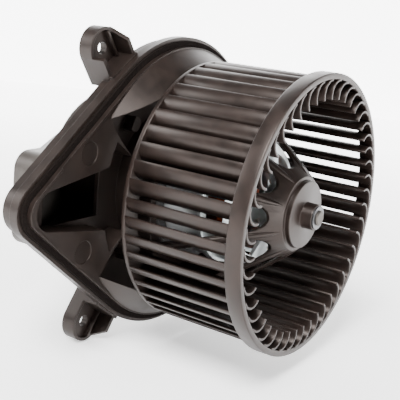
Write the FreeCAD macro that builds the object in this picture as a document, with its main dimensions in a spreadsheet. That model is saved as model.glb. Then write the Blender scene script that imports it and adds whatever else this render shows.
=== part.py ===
# Car cabin blower motor: a flanged plastic housing that carries a small direct-current motor,
# and a squirrel-cage wheel of forward-curved blades on the motor's shaft.
# Millimetres. The motor's axis is Y. The wheel's open inlet faces -Y, the motor's rear faces +Y,
# +Z is up, and the pointed corner of the flange is toward -X. The seal plane of the flange is y = 0.
import FreeCAD, Part
import Sketcher
import math
import os
import re

V = FreeCAD.Vector
doc = FreeCAD.newDocument("blower_motor")
sheet = doc.addObject("Spreadsheet::Sheet", "Sizes")

SIZES = [
    # impeller wheel
    ("wheel_r", 75.0, "outer radius of the front ring"),
    ("wheel_front", 88.3, "front face of the wheel, ahead of the seal plane"),
    ("wheel_rear", 16.7, "rear face of the wheel's back plate, ahead of the seal plane"),
    ("ring_width", 8.6, "length of the front ring"),
    ("ring_wall", 3.3, "wall of the front ring"),
    ("plate_r", 72.0, "outer radius of the back plate"),
    ("plate_thick", 2.5, "thickness of the back plate"),
    ("blade_count", 47, "blades round the wheel"),
    ("blade_pitch_r", 64.0, "radius at which the centre of a blade's arc lies"),
    ("blade_drop", 6.3, "how far the arc's centre lies to one side"),
    ("blade_curve_r", 7.3, "mean radius of a blade's arc"),
    ("blade_thick", 1.3, "thickness of a blade"),
    ("blade_inner_turn", 110.0, "angle of a blade's inner edge on its arc"),
    ("blade_outer_turn", -8.0, "angle of a blade's outer edge on its arc"),
    ("blade_phase", 4.4, "turn of the first blade from the first arm"),
    ("hub_front", 82.4, "front face of the hub disc, ahead of the seal plane"),
    ("hub_disc_r", 18.1, "radius of the flat hub disc"),
    ("hub_disc_step", 2.8, "height of the hub disc above the cone"),
    ("boss_r", 6.9, "radius of the hub boss"),
    ("boss_length", 6.5, "length of the hub boss ahead of the disc"),
    ("hub_sleeve_r", 9.5, "radius of the sleeve behind the disc"),
    ("hub_sleeve_rear", 73.4, "rear end of the sleeve, ahead of the seal plane"),
    ("cone_wide_r", 58.0, "radius at which the cone turns down to the back plate"),
    ("cone_wide_y", 30.3, "distance of that turn ahead of the seal plane"),
    ("cone_foot_r", 61.9, "radius at which the cone meets the back plate"),
    ("cone_wall", 1.3, "radial wall of the cone"),
    ("arm_count", 9, "arms of the cone"),
    ("arm_width", 4.8, "width of an arm"),
    ("window_inner_r", 24.3, "radius of a window's rounded inner end"),
    ("window_outer_r", 59.6, "radius of a window's outer end"),
    ("rib_width", 3.0, "width of the rib along an arm"),
    ("rib_rise", 2.2, "height of the rib measured along the axis"),
    ("rib_start_r", 21.0, "radius at which the rib starts"),
    ("hub_shoulder", 1.9, "width of the step round the hub disc"),
    ("hub_wall", 5.0, "depth from the disc's front to its rear face"),
    ("foot_wall", 1.6, "radial wall at the cone's foot"),
    # shaft line
    ("shaft_r", 4.0, "radius of the shaft"),
    ("shaft_front", 91.0, "front end of the shaft, ahead of the seal plane"),
    ("shaft_rear", 50.5, "rear end of the shaft, behind the seal plane"),
    ("clip_r", 6.2, "outer radius of the push-on clip"),
    ("clip_thick", 0.8, "thickness of the clip"),
    ("clip_groove_r", 3.6, "radius of the shaft's groove under the clip"),
    ("shaft_edge", 0.6, "chamfer at the shaft's ends"),
    ("washer_r", 7.0, "outer radius of a thrust washer"),
    ("washer_thick", 1.0, "thickness of a thrust washer"),
    ("front_washer_y", 60.6, "front face of the front washer, ahead of the seal plane"),
    ("rear_washer_y", 40.4, "front face of the rear washer, behind the seal plane"),
    ("bush_clear", 0.03, "running clearance of the shaft in a bush"),
    ("bush_r", 7.5, "radius of a bearing bush"),
    ("bush_length", 7.0, "length of a bearing bush"),
    ("front_bush_y", 62.0, "rear face of the front bush, ahead of the seal plane"),
    ("rear_bush_y", 42.8, "front face of the rear bush, behind the seal plane"),
    # motor
    ("can_r", 34.5, "outer radius of the motor can"),
    ("can_wall", 2.2, "wall of the can"),
    ("can_front", 38.0, "front end of the can, ahead of the seal plane"),
    ("can_rear", 45.0, "rear end of the can, behind the seal plane"),
    ("can_lip_r", 36.0, "radius of the lip at the can's front end"),
    ("can_lip", 3.0, "length of the lip"),
    ("bracket_wall", 1.8, "sheet of the front bracket"),
    ("bracket_rim", 56.5, "front rim of the bracket, ahead of the seal plane"),
    ("bracket_rim_r", 32.0, "radius of the bracket's front rim"),
    ("bracket_seat", 70.6, "front end of the bearing seat, ahead of the seal plane"),
    ("seat_wall", 1.8, "wall of a bearing seat"),
    ("seat_hole_r", 5.2, "radius of the hole in a bearing seat's end"),
    ("retainer_r", 11.0, "radius of the ring that holds a bush"),
    ("retainer_thick", 0.8, "thickness of that ring"),
    ("side_window", 24.0, "width of a window in the bracket's side"),
    ("side_window_front", 52.5, "front end of that window, ahead of the seal plane"),
    ("side_window_rear", 41.0, "rear end of that window, ahead of the seal plane"),
    ("dome_window_in", 13.5, "inner radius of a window in the bracket's dome"),
    ("dome_window_out", 28.5, "outer radius of that window"),
    ("dome_window_turn", 58.0, "angle that such a window spans"),
    ("dome_mid_r", 20.0, "radius at which the dome bends"),
    ("dome_mid_y", 60.5, "distance of that bend ahead of the seal plane"),
    ("damper_front", 15.6, "front face of the rubber ring, ahead of the seal plane"),
    ("damper_rear", 6.0, "rear face of the rubber ring, ahead of the seal plane"),
    ("damper_lip_r", 40.0, "radius of the lip of the rubber ring"),
    ("core_r", 23.4, "radius of the laminated core"),
    ("core_front", 34.0, "front end of the core, ahead of the seal plane"),
    ("core_rear", 14.0, "rear end of the core, behind the seal plane"),
    ("slot_count", 12, "slots of the core"),
    ("slot_width", 4.4, "width of a slot"),
    ("slot_mouth", 2.0, "width of a slot's mouth"),
    ("slot_top_r", 21.6, "radius at which a slot narrows to its mouth"),
    ("coil_gap", 0.3, "gap between a coil and the sides of its slot"),
    ("coil_in_r", 6.5, "inner radius of the coil heads"),
    ("slot_bottom_r", 10.5, "radius of a slot's bottom"),
    ("air_gap", 0.8, "gap between the core and the magnets"),
    ("magnet_turn", 130.0, "angle that a magnet spans"),
    ("magnet_front", 35.5, "front end of a magnet, ahead of the seal plane"),
    ("magnet_rear", 20.0, "rear end of a magnet, behind the seal plane"),
    ("coil_out", 9.5, "length of the coil heads beyond the core"),
    ("coil_r", 21.2, "outer radius of the coil heads"),
    ("comm_r", 10.5, "radius of the commutator"),
    ("comm_in_r", 7.0, "inner radius of the copper bars"),
    ("comm_slit", 0.5, "gap between two bars"),
    ("comm_front", 28.0, "front end of the commutator, behind the seal plane"),
    ("comm_rear", 39.5, "rear end of the commutator, behind the seal plane"),
    ("brush_width", 6.0, "width of a brush"),
    ("brush_depth", 6.4, "length of a brush along the axis"),
    ("brush_long", 9.5, "radial length of a brush"),
    ("brush_gap", 0.3, "gap between a brush and the commutator"),
    ("brush_y", 34.2, "middle of a brush, behind the seal plane"),
    ("spring_wide", 4.4, "width of a folded brush spring"),
    ("spring_leaf", 1.4, "height of the spring's leaf measured along the axis"),
    ("spring_swing", 1.9, "how far the middle of a fold lies to each side"),
    ("holder_front_x", 11.6, "distance of a holder's open end from the axis"),
    ("holder_wall", 0.8, "wall of a brush holder"),
    ("holder_long", 14.0, "radial length of a brush holder"),
    ("card_front", 38.2, "front face of the brush card, behind the seal plane"),
    ("card_thick", 2.0, "thickness of the brush card"),
    ("card_hole_r", 12.5, "radius of the hole in the brush card"),
    ("tower_wide", 17.0, "width of the card's terminal tower"),
    ("tower_high", 8.6, "height of that tower"),
    ("tower_rear", 47.0, "rear end of that tower, behind the seal plane"),
    ("tower_gap", 0.3, "gap round the tower in the can's rear end"),
    ("tower_z", 16.2, "distance of the tower from the axis"),
    # housing
    ("seal_r", 77.6, "radius of the raised seat inside the seal groove"),
    ("corner_r", 10.0, "radius of that seat's pointed corner"),
    ("corner_x", 107.9, "distance of the corner's centre from the axis"),
    ("groove_width", 3.1, "width of the seal groove"),
    ("rim_wall", 2.0, "wall of the outer rim"),
    ("rim_front", 3.4, "front edge of the rim, behind the seal plane"),
    ("rim_rear", 8.4, "rear edge of the rim, behind the seal plane"),
    ("groove_floor", 6.0, "floor of the groove, behind the seal plane"),
    ("skirt_rear", 15.0, "rear edge of the skirt, behind the seal plane"),
    ("skirt_step", 2.2, "how far the skirt stands inside the rim"),
    ("housing_wall", 2.5, "usual wall of the housing"),
    ("hill_height", 13.6, "height of the conical wall ahead of the seal plane"),
    ("hill_top_r", 67.3, "outer radius at the top of the conical wall"),
    ("well_r", 65.0, "inner radius of the well round the motor"),
    ("well_floor", 12.5, "floor of the well, behind the seal plane"),
    ("cup_r", 41.0, "outer radius of the motor cup"),
    ("cup_wall", 2.4, "wall of the motor cup"),
    ("cup_front", 14.0, "front edge of the motor cup, ahead of the seal plane"),
    ("cup_rear", 51.5, "rear face of the motor cup, behind the seal plane"),
    ("cup_hole_r", 20.8, "radius of the hole in the cup's bottom"),
    ("seal_front", 1.8, "front face of the foam seal, behind the seal plane"),
    ("lug_x", 53.8, "distance of a lug's hole from the axis along X"),
    ("lug_z", 75.0, "distance of a lug's hole from the axis along Z"),
    ("lug_r", 11.0, "radius of a lug's round end"),
    ("lug_hole_r", 3.3, "radius of a lug's hole"),
    ("lug_face", 18.0, "front face of a lug's web, behind the seal plane"),
    ("lug_web", 4.0, "thickness of a lug's web"),
    ("lug_rear", 24.0, "rear edge of a lug's walls, behind the seal plane"),
    ("lug_wall", 2.2, "thickness of a lug's walls"),
    ("lug_wall_front", 7.8, "front edge of a lug's taller wall, behind the seal plane"),
    ("lug_rim_front", 16.0, "front edge of the rim round a lug's web"),
    ("lug_rim_wall", 1.8, "wall of that rim"),
    ("lug_guard_front", 8.6, "front edge of the upper lug's second wall, behind the seal plane"),
    ("lug_root_in", 1.6, "how far inside the seat's edge a lug grows out of the flange"),
    ("duct_end_x", 103.3, "distance of the corner pocket's round end centre from the axis"),
    ("duct_end_r", 10.2, "radius of that end"),
    ("duct_mouth_x", 56.0, "distance of the pocket's mouth in the well from the axis"),
    ("duct_mouth", 17.8, "half width of the pocket at its mouth"),
    ("duct_slot_x", 97.0, "far end of the opening in the pocket's floor"),
    ("duct_slot", 12.5, "half width of that opening"),
    ("mark_x", 79.0, "distance of a round moulding mark from the axis along X"),
    ("mark_z", 25.5, "distance of a round moulding mark from the axis along Z"),
    ("mark_r", 6.15, "radius of a round moulding mark"),
    ("seat_lip", 1.2, "width of the raised lip at the edge of the seat"),
    ("seat_lip_height", 0.7, "height of that lip"),
    ("face_turn", 115.6, "turn of the plane that ends the conical wall"),
    ("face_r", 65.66, "distance of that plane from the axis"),
    ("hollow_turn", 236.0, "angle over which the conical wall is hollow"),
    ("wedge_far_r", 76.9, "distance from the axis at which that plane meets the seat"),
    ("wedge_far_turn", 147.1, "turn of that point from +X"),
    ("wedge_near_turn", 150.9, "turn of the point at which the well takes on its round edge"),
    ("back_rib_count", 12, "ribs between the well and the skirt"),
    ("back_rib", 1.8, "thickness of a rib"),
    ("boss_pcd", 102.0, "circle of the four cover screws"),
    ("boss_out_r", 4.2, "radius of a screw boss"),
    ("cover_screw_r", 2.0, "radius of a cover screw"),
    ("ear_r", 5.5, "radius of an ear of the cover"),
    ("ear_thick", 3.0, "thickness of an ear"),
    ("motor_pcd", 52.0, "circle of the three motor screws"),
    ("motor_screw_r", 2.0, "radius of a motor screw"),
    ("head_r", 3.8, "radius of a screw head"),
    ("head_height", 2.4, "height of a screw head"),
    # rear cover
    ("cover_r", 44.5, "radius of the rear cover's drum"),
    ("cover_rear", 58.0, "rear face of the drum, behind the seal plane"),
    ("cover_wall", 2.2, "wall of the rear cover"),
    ("cover_arm", 24.0, "half width of the cover's duct arm"),
    ("cover_arm_end", 102.0, "distance of the duct arm's far end from the axis"),
    ("cover_arm_corner", 9.0, "radius of the two corners at that end"),
    ("cover_arm_bend", 85.0, "distance at which the arm's rear face starts to rise to the drum"),
    ("cover_arm_rear", 28.0, "rear face of the arm beyond that bend, behind the seal plane"),
    ("socket_wide", 24.0, "width of the connector socket"),
    ("socket_high", 13.0, "height of the connector socket"),
    ("socket_wall", 1.8, "wall of the connector socket"),
    ("socket_rear", 66.0, "rear edge of the connector socket, behind the seal plane"),
    ("socket_z", 26.0, "distance of the socket from the axis"),
    ("blade_wide", 6.3, "width of a connector blade"),
    ("blade_flat", 0.8, "thickness of a connector blade"),
    ("blade_gap", 10.0, "distance between the two connector blades"),
    ("blade_end", 65.0, "rear end of a connector blade, behind the seal plane"),
    ("link_front", 52.3, "front edge of the terminal's cross piece, behind the seal plane"),
    ("link_rear", 54.8, "rear edge of that cross piece, behind the seal plane"),
    ("blade_room", 0.1, "gap round a connector blade in the cover"),
]

for i, (alias, number, note) in enumerate(SIZES, start=1):
    sheet.set("A%d" % i, alias)
    sheet.set("B%d" % i, repr(number))
    sheet.set("C%d" % i, note)
    sheet.setAlias("B%d" % i, alias)
doc.recompute()


def value(text):
    """The number that an expression of the sheet's names gives."""
    return float(sheet.evalExpression(text))


def ref(text):
    """The same expression with each name written as a cell of the sheet."""
    return re.sub(r"\b([a-z]+_[a-z_]+)\b", r"Sizes.\1", text)


def new_body(node, label=None, several=False):
    body = doc.addObject("PartDesign::Body", node)
    body.Label = label or node
    if several:
        body.AllowCompound = True
    return body


def origin(body, role):
    return [o for o in body.Origin.OriginFeatures if o.Role == role][0]


def new_sketch(body, name, plane="XZ_Plane", at="0", turn=None):
    """A sketch of the body. On the XZ plane it lies at y = at, its x is X and its y is Z."""
    sk = body.newObject("Sketcher::SketchObject", body.Name + "_" + name)
    sk.AttachmentSupport = [(origin(body, plane), "")]
    sk.MapMode = "FlatFace"
    if plane == "XZ_Plane":
        spin = FreeCAD.Rotation(V(0, 0, 1), value(turn) if turn else 0.0)
        sk.AttachmentOffset = FreeCAD.Placement(V(0, 0, -value(at)), spin)
        sk.setExpression("AttachmentOffset.Base.z", ref("-1 * (" + at + ")"))
        if turn:
            sk.setExpression("AttachmentOffset.Rotation.Angle", ref(turn))
    return sk


def hold(sk, kind, *rest):
    """Adds a constraint; its last item is an expression."""
    text = rest[-1]
    n = sk.addConstraint(Sketcher.Constraint(kind, *rest[:-1], value(text)))
    sk.setExpression("Constraints[%d]" % n, ref(text))
    return n


def polygon(sk, points):
    first = sk.GeometryCount
    count = len(points)
    place = [V(value(a), value(b), 0) for a, b in points]
    for i in range(count):
        sk.addGeometry(Part.LineSegment(place[i], place[(i + 1) % count]), False)
    for i in range(count):
        sk.addConstraint(Sketcher.Constraint("Coincident", first + i, 2, first + (i + 1) % count, 1))
    for i, (a, b) in enumerate(points):
        hold(sk, "DistanceX", -1, 1, first + i, 1, a)
        hold(sk, "DistanceY", -1, 1, first + i, 1, b)


def circle(sk, a, b, r):
    n = sk.addGeometry(Part.Circle(V(value(a), value(b), 0), V(0, 0, 1), value(r)), False)
    hold(sk, "DistanceX", -1, 1, n, 3, a)
    hold(sk, "DistanceY", -1, 1, n, 3, b)
    hold(sk, "Radius", n, r)


def arc(sk, a, b, r, start, end):
    ring = Part.Circle(V(value(a), value(b), 0), V(0, 0, 1), value(r))
    return sk.addGeometry(Part.ArcOfCircle(ring, math.radians(start), math.radians(end)), False)


def teardrop(sk, r, corner):
    """A circle round the axis drawn out to a rounded corner toward -X."""
    big = value(r)
    small = value(corner)
    far = value("corner_x")
    g = 90 - math.degrees(math.asin((big - small) / far))
    one = arc(sk, "0", "0", r, g - 180, 180 - g)
    two = arc(sk, "-1*corner_x", "0", corner, 180 - g, 180 + g)
    up = V(math.cos(math.radians(180 - g)), math.sin(math.radians(180 - g)), 0)
    low = V(up.x, -up.y, 0)
    tip = V(-far, 0, 0)
    upper = sk.addGeometry(Part.LineSegment(up * big, tip + up * small), False)
    lower = sk.addGeometry(Part.LineSegment(tip + low * small, low * big), False)
    sk.addConstraint(Sketcher.Constraint("Coincident", one, 3, -1, 1))
    sk.addConstraint(Sketcher.Constraint("PointOnObject", two, 3, -1))
    hold(sk, "DistanceX", -1, 1, two, 3, "-1*corner_x")
    hold(sk, "Radius", one, r)
    hold(sk, "Radius", two, corner)
    sk.addConstraint(Sketcher.Constraint("Tangent", one, 2, upper, 1))
    sk.addConstraint(Sketcher.Constraint("Tangent", upper, 2, two, 1))
    sk.addConstraint(Sketcher.Constraint("Tangent", two, 2, lower, 1))
    sk.addConstraint(Sketcher.Constraint("Tangent", lower, 2, one, 1))


def arc_band(sk, a, b, r_in, r_out, start, end):
    """A strip between two arcs of one centre; start and end are its angles in degrees."""
    s = value(start)
    e = value(end)
    inner = arc(sk, a, b, r_in, s, e)
    outer = arc(sk, a, b, r_out, s, e)
    c = V(value(a), value(b), 0)
    ends = []
    for t in (s, e):
        u = V(math.cos(math.radians(t)), math.sin(math.radians(t)), 0)
        line = Part.LineSegment(c + u * value(r_in), c + u * value(r_out))
        ends.append(sk.addGeometry(line, False))
    sk.addConstraint(Sketcher.Constraint("Coincident", inner, 3, outer, 3))
    hold(sk, "DistanceX", -1, 1, inner, 3, a)
    hold(sk, "DistanceY", -1, 1, inner, 3, b)
    hold(sk, "Radius", inner, r_in)
    hold(sk, "Radius", outer, r_out)
    for k, point in ((0, 1), (1, 2)):
        sk.addConstraint(Sketcher.Constraint("Coincident", ends[k], 1, inner, point))
        sk.addConstraint(Sketcher.Constraint("Coincident", ends[k], 2, outer, point))
        sk.addConstraint(Sketcher.Constraint("PointOnObject", inner, 3, ends[k]))
    for k, text in ((0, start), (1, end)):
        n = sk.addConstraint(Sketcher.Constraint("Angle", ends[k], math.radians(value(text))))
        sk.setExpression("Constraints[%d]" % n, ref("(" + text + ") * 1deg"))


def round_end(sk, near, far, half):
    """A strip along the sketch's x from near to far with a round end of radius half at far."""
    c = value(far)
    h = value(half)
    side = 1 if c > value(near) else -1
    turn = 0 if side > 0 else 180
    bow = arc(sk, far, "0", half, turn - 90, turn + 90)
    low = V(value(near), -h * side, 0)
    high = V(value(near), h * side, 0)
    one = sk.addGeometry(Part.LineSegment(low, V(c, -h * side, 0)), False)
    two = sk.addGeometry(Part.LineSegment(V(c, h * side, 0), high), False)
    three = sk.addGeometry(Part.LineSegment(high, low), False)
    sk.addConstraint(Sketcher.Constraint("PointOnObject", bow, 3, -1))
    hold(sk, "DistanceX", -1, 1, bow, 3, far)
    hold(sk, "Radius", bow, half)
    sk.addConstraint(Sketcher.Constraint("Tangent", one, 2, bow, 1))
    sk.addConstraint(Sketcher.Constraint("Tangent", bow, 2, two, 1))
    sk.addConstraint(Sketcher.Constraint("Coincident", two, 2, three, 1))
    sk.addConstraint(Sketcher.Constraint("Coincident", three, 2, one, 1))
    sk.addConstraint(Sketcher.Constraint("Vertical", three))
    hold(sk, "DistanceX", -1, 1, three, 1, near)
    sk.addConstraint(Sketcher.Constraint("Horizontal", one))


def corner_end(sk, near, far, half, corner):
    """A strip toward -X from near to far with two rounded corners at its far end."""
    n = value(near)
    f = value(far)
    h = value(half)
    c = value(corner)
    mid = "%s + %s" % (far, corner)
    up = "%s - %s" % (half, corner)
    top = sk.addGeometry(Part.LineSegment(V(n, h, 0), V(f + c, h, 0)), False)
    one = arc(sk, mid, up, corner, 90, 180)
    left = sk.addGeometry(Part.LineSegment(V(f, h - c, 0), V(f, c - h, 0)), False)
    two = arc(sk, mid, "-1 * (%s)" % up, corner, 180, 270)
    low = sk.addGeometry(Part.LineSegment(V(f + c, -h, 0), V(n, -h, 0)), False)
    mouth = sk.addGeometry(Part.LineSegment(V(n, -h, 0), V(n, h, 0)), False)
    for bow, text in ((one, up), (two, "-1 * (%s)" % up)):
        hold(sk, "DistanceX", -1, 1, bow, 3, mid)
        hold(sk, "DistanceY", -1, 1, bow, 3, text)
        hold(sk, "Radius", bow, corner)
    sk.addConstraint(Sketcher.Constraint("Tangent", top, 2, one, 1))
    sk.addConstraint(Sketcher.Constraint("Tangent", one, 2, left, 1))
    sk.addConstraint(Sketcher.Constraint("Tangent", left, 2, two, 1))
    sk.addConstraint(Sketcher.Constraint("Tangent", two, 2, low, 1))
    sk.addConstraint(Sketcher.Constraint("Horizontal", top))
    sk.addConstraint(Sketcher.Constraint("Horizontal", low))
    sk.addConstraint(Sketcher.Constraint("Coincident", low, 2, mouth, 1))
    sk.addConstraint(Sketcher.Constraint("Coincident", mouth, 2, top, 1))
    hold(sk, "DistanceX", -1, 1, mouth, 1, near)
    sk.addConstraint(Sketcher.Constraint("Vertical", mouth))


def turned(body, name, points, cut=False, sweep=None):
    """A profile of radius and y turned round the axis, wholly or over a sweep centred on +X."""
    sk = new_sketch(body, name + "_profile", "XY_Plane")
    polygon(sk, points)
    kind = "PartDesign::Groove" if cut else "PartDesign::Revolution"
    f = body.newObject(kind, body.Name + "_" + name)
    f.Profile = sk
    f.ReferenceAxis = (sk, ["V_Axis"])
    f.Angle = 360
    if sweep:
        f.Midplane = True
        f.Angle = value(sweep)
        f.setExpression("Angle", ref(sweep))
    return f


def raised(body, name, draw, front, rear, turn=None):
    """Material between y = front and y = rear inside the outline that draw makes."""
    sk = new_sketch(body, name + "_outline", "XZ_Plane", rear, turn)
    draw(sk)
    f = body.newObject("PartDesign::Pad", body.Name + "_" + name)
    f.Profile = sk
    f.Length = value("(" + rear + ") - (" + front + ")")
    f.setExpression("Length", ref("(" + rear + ") - (" + front + ")"))
    return f


def sunk(body, name, draw, front, rear, turn=None):
    """A hollow between y = front and y = rear inside the outline that draw makes."""
    sk = new_sketch(body, name + "_outline", "XZ_Plane", front, turn)
    draw(sk)
    f = body.newObject("PartDesign::Pocket", body.Name + "_" + name)
    f.Profile = sk
    f.Length = value("(" + rear + ") - (" + front + ")")
    f.setExpression("Length", ref("(" + rear + ") - (" + front + ")"))
    return f


def around(body, name, features, count):
    """The features repeated evenly round the axis."""
    f = body.newObject("PartDesign::PolarPattern", body.Name + "_" + name)
    f.Originals = features
    f.Axis = (origin(body, "Y_Axis"), [""])
    f.Angle = 360
    f.Occurrences = int(value(count))
    f.setExpression("Occurrences", ref(count))
    body.Tip = f
    return f


def mirrored(body, name, features):
    """The features repeated on the other side of z = 0."""
    f = body.newObject("PartDesign::Mirrored", body.Name + "_" + name)
    f.Originals = features
    f.MirrorPlane = (origin(body, "XY_Plane"), [""])
    body.Tip = f
    return f


def plate(body, name, points, thick, turn="0", offset="0", cut=False):
    """A flat plate, or a cut like one, that stands along the axis. Its outline is in distance
    from the axis and y, its plane is turned from +X, and its middle lies offset to one side."""
    sk = new_sketch(body, name + "_outline", "XY_Plane")
    t = value(turn)
    d = value(offset)
    base = V(-d * math.sin(math.radians(t)), 0, d * math.cos(math.radians(t)))
    sk.AttachmentOffset = FreeCAD.Placement(base, FreeCAD.Rotation(V(0, -1, 0), t))
    if turn != "0":
        sk.setExpression("AttachmentOffset.Rotation.Angle", ref(turn))
    if offset != "0":
        side = ref("(%s)" % offset)
        angle = ref("(%s)" % turn)
        sk.setExpression("AttachmentOffset.Base.x", "-1 * %s * sin(%s * 1deg)" % (side, angle))
        sk.setExpression("AttachmentOffset.Base.z", "%s * cos(%s * 1deg)" % (side, angle))
    polygon(sk, points)
    f = body.newObject("PartDesign::Pocket" if cut else "PartDesign::Pad", body.Name + "_" + name)
    f.Profile = sk
    f.Midplane = True
    f.Length = value(thick)
    f.setExpression("Length", ref(thick))
    return f


def rectangle(x_low, x_high, z_low, z_high):
    corners = [(x_low, z_low), (x_high, z_low), (x_high, z_high), (x_low, z_high)]
    return lambda sk: polygon(sk, corners)


def disc(r, a="0", b="0"):
    return lambda sk: circle(sk, a, b, r)


def ring(label, r_in, r_out, front, rear):
    """A plain ring on the axis as a part of its own."""
    part = new_body(label)
    turned(part, "ring", [(r_in, front), (r_out, front), (r_out, rear), (r_in, rear)])
    return part


# The impeller wheel is one moulding: hub, cone with windows, back plate, blades and front ring.
wheel = new_body("impeller_wheel")
cone_start = "(hub_disc_r + hub_shoulder)"
cone_top = "(hub_disc_step - hub_front)"
cone_slope = "((cone_wide_r - %s) / (-cone_wide_y - %s))" % (cone_start, cone_top)
plate_front = "(-wheel_rear - plate_thick)"
turned(wheel, "hub", [
    ("shaft_r", "-hub_front - boss_length"),
    ("boss_r", "-hub_front - boss_length"),
    ("boss_r", "-hub_front"),
    ("hub_disc_r", "-hub_front"),
    ("hub_disc_r", cone_top),
    (cone_start, cone_top),
    ("cone_wide_r", "-cone_wide_y"),
    ("cone_foot_r", plate_front),
    ("plate_r", plate_front),
    ("plate_r", "-wheel_rear"),
    ("cone_foot_r - foot_wall", "-wheel_rear"),
    ("cone_wide_r - cone_wall", "-cone_wide_y"),
    (cone_start + " - cone_wall + (hub_wall - hub_disc_step) * " + cone_slope, "hub_wall - hub_front"),
    ("hub_sleeve_r", "hub_wall - hub_front"),
    ("hub_sleeve_r", "-hub_sleeve_rear"),
    ("shaft_r", "-hub_sleeve_rear"),
])
rib_start_y = "(%s + (rib_start_r - %s) / %s)" % (cone_top, cone_start, cone_slope)
rib = plate(wheel, "rib", [
    ("rib_start_r", rib_start_y + " + 1"),
    ("rib_start_r", rib_start_y + " - rib_rise"),
    ("cone_wide_r", "-cone_wide_y - rib_rise"),
    ("cone_wide_r", "-cone_wide_y + 1"),
], "rib_width")
around(wheel, "ribs", [rib], "arm_count")


def window(sk):
    """The opening between two arms: a round inner end, straight sides and an outer arc."""
    half = 180.0 / value("arm_count")
    lean = "sin(180deg / arm_count)"
    mid = "((window_inner_r - arm_width / 2) / (1 - %s))" % lean
    small = "(%s - window_inner_r)" % mid
    inner = arc(sk, mid, "0", small, 90 + half, 270 - half)
    far = value("window_outer_r")
    spread = half - math.degrees(math.asin(value("arm_width") / 2 / far))
    outer = arc(sk, "0", "0", "window_outer_r", -spread, spread)
    lines = []
    for side in (1, -1):
        a = math.radians(90 + half)
        start = V(value(mid) + value(small) * math.cos(a), side * value(small) * math.sin(a), 0)
        b = math.radians(spread)
        end = V(far * math.cos(b), side * far * math.sin(b), 0)
        lines.append(sk.addGeometry(Part.LineSegment(start, end), False))
    sk.addConstraint(Sketcher.Constraint("PointOnObject", inner, 3, -1))
    hold(sk, "DistanceX", -1, 1, inner, 3, mid)
    hold(sk, "Radius", inner, small)
    sk.addConstraint(Sketcher.Constraint("Coincident", outer, 3, -1, 1))
    hold(sk, "Radius", outer, "window_outer_r")
    sk.addConstraint(Sketcher.Constraint("Tangent", lines[0], 1, inner, 1))
    sk.addConstraint(Sketcher.Constraint("Tangent", lines[1], 1, inner, 2))
    sk.addConstraint(Sketcher.Constraint("Coincident", lines[0], 2, outer, 2))
    sk.addConstraint(Sketcher.Constraint("Coincident", lines[1], 2, outer, 1))
    for line, sign in ((lines[0], ""), (lines[1], "-1 * ")):
        text = sign + "180deg / arm_count"
        n = sk.addConstraint(Sketcher.Constraint("Angle", line, math.radians(value(text))))
        sk.setExpression("Constraints[%d]" % n, ref(text))


opening = sunk(wheel, "window", window, "-hub_front", "-wheel_rear", turn="180 / arm_count")
around(wheel, "windows", [opening], "arm_count")


def blade_section(sk):
    arc_band(sk, "blade_pitch_r", "-blade_drop", "blade_curve_r - blade_thick / 2",
             "blade_curve_r + blade_thick / 2", "blade_outer_turn", "blade_inner_turn")


blade = raised(wheel, "blade", blade_section, "-wheel_front", "-wheel_rear - plate_thick / 2",
               turn="blade_phase")
around(wheel, "blades", [blade], "blade_count")
turned(wheel, "ring", [
    ("wheel_r - ring_wall", "-wheel_front"),
    ("wheel_r", "-wheel_front"),
    ("wheel_r", "ring_width - wheel_front"),
    ("wheel_r - ring_wall", "ring_width - wheel_front"),
])

# The shaft, its push-on clip and the two thrust washers.
clip_rear = "(-hub_front - boss_length)"
shaft = new_body("shaft")
turned(shaft, "rod", [
    ("0", "-shaft_front"),
    ("shaft_r - shaft_edge", "-shaft_front"),
    ("shaft_r", "-shaft_front + shaft_edge"),
    ("shaft_r", clip_rear + " - clip_thick"),
    ("clip_groove_r", clip_rear + " - clip_thick"),
    ("clip_groove_r", clip_rear),
    ("shaft_r", clip_rear),
    ("shaft_r", "shaft_rear - shaft_edge"),
    ("shaft_r - shaft_edge", "shaft_rear"),
    ("0", "shaft_rear"),
])
clip = ring("shaft_clip", "clip_groove_r", "clip_r", clip_rear + " - clip_thick", clip_rear)
washers = new_body("thrust_washers", several=True)
for name, front in (("front", "-front_washer_y"), ("rear", "rear_washer_y")):
    rear = "(%s) + washer_thick" % front
    turned(washers, name, [("shaft_r", front), ("washer_r", front), ("washer_r", rear), ("shaft_r", rear)])

# The laminated core, its windings and the commutator.
core = new_body("laminated_core")
turned(core, "stack", [
    ("shaft_r", "-core_front"),
    ("core_r", "-core_front"),
    ("core_r", "core_rear"),
    ("shaft_r", "core_rear"),
])


def slot(sk):
    polygon(sk, [
        ("slot_bottom_r", "-slot_width / 2"),
        ("slot_top_r", "-slot_width / 2"),
        ("slot_top_r", "-slot_mouth / 2"),
        ("core_r + 1", "-slot_mouth / 2"),
        ("core_r + 1", "slot_mouth / 2"),
        ("slot_top_r", "slot_mouth / 2"),
        ("slot_top_r", "slot_width / 2"),
        ("slot_bottom_r", "slot_width / 2"),
    ])


around(core, "slots", [sunk(core, "slot", slot, "-core_front", "core_rear")], "slot_count")

windings = new_body("windings")
for name, near, far in (("front", "-core_front", "-core_front - coil_out"),
                        ("rear", "core_rear", "core_rear + coil_out")):
    if name == "rear":
        bar_front = "-core_front - coil_out / 2"
        bar = raised(windings, "bar", rectangle(
            "slot_bottom_r + coil_gap", "coil_r - coil_gap",
            "coil_gap - slot_width / 2", "slot_width / 2 - coil_gap"),
            bar_front, "core_rear + coil_out / 2")
        around(windings, "bars", [bar], "slot_count")
    turned(windings, name, [
        ("coil_in_r", near),
        ("coil_r", near),
        ("coil_r", "(%s) * 0.35 + (%s) * 0.65" % (near, far)),
        ("coil_r - 3", far),
        ("coil_in_r + 3", far),
        ("coil_in_r", "(%s) * 0.6 + (%s) * 0.4" % (near, far)),
    ])

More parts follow.
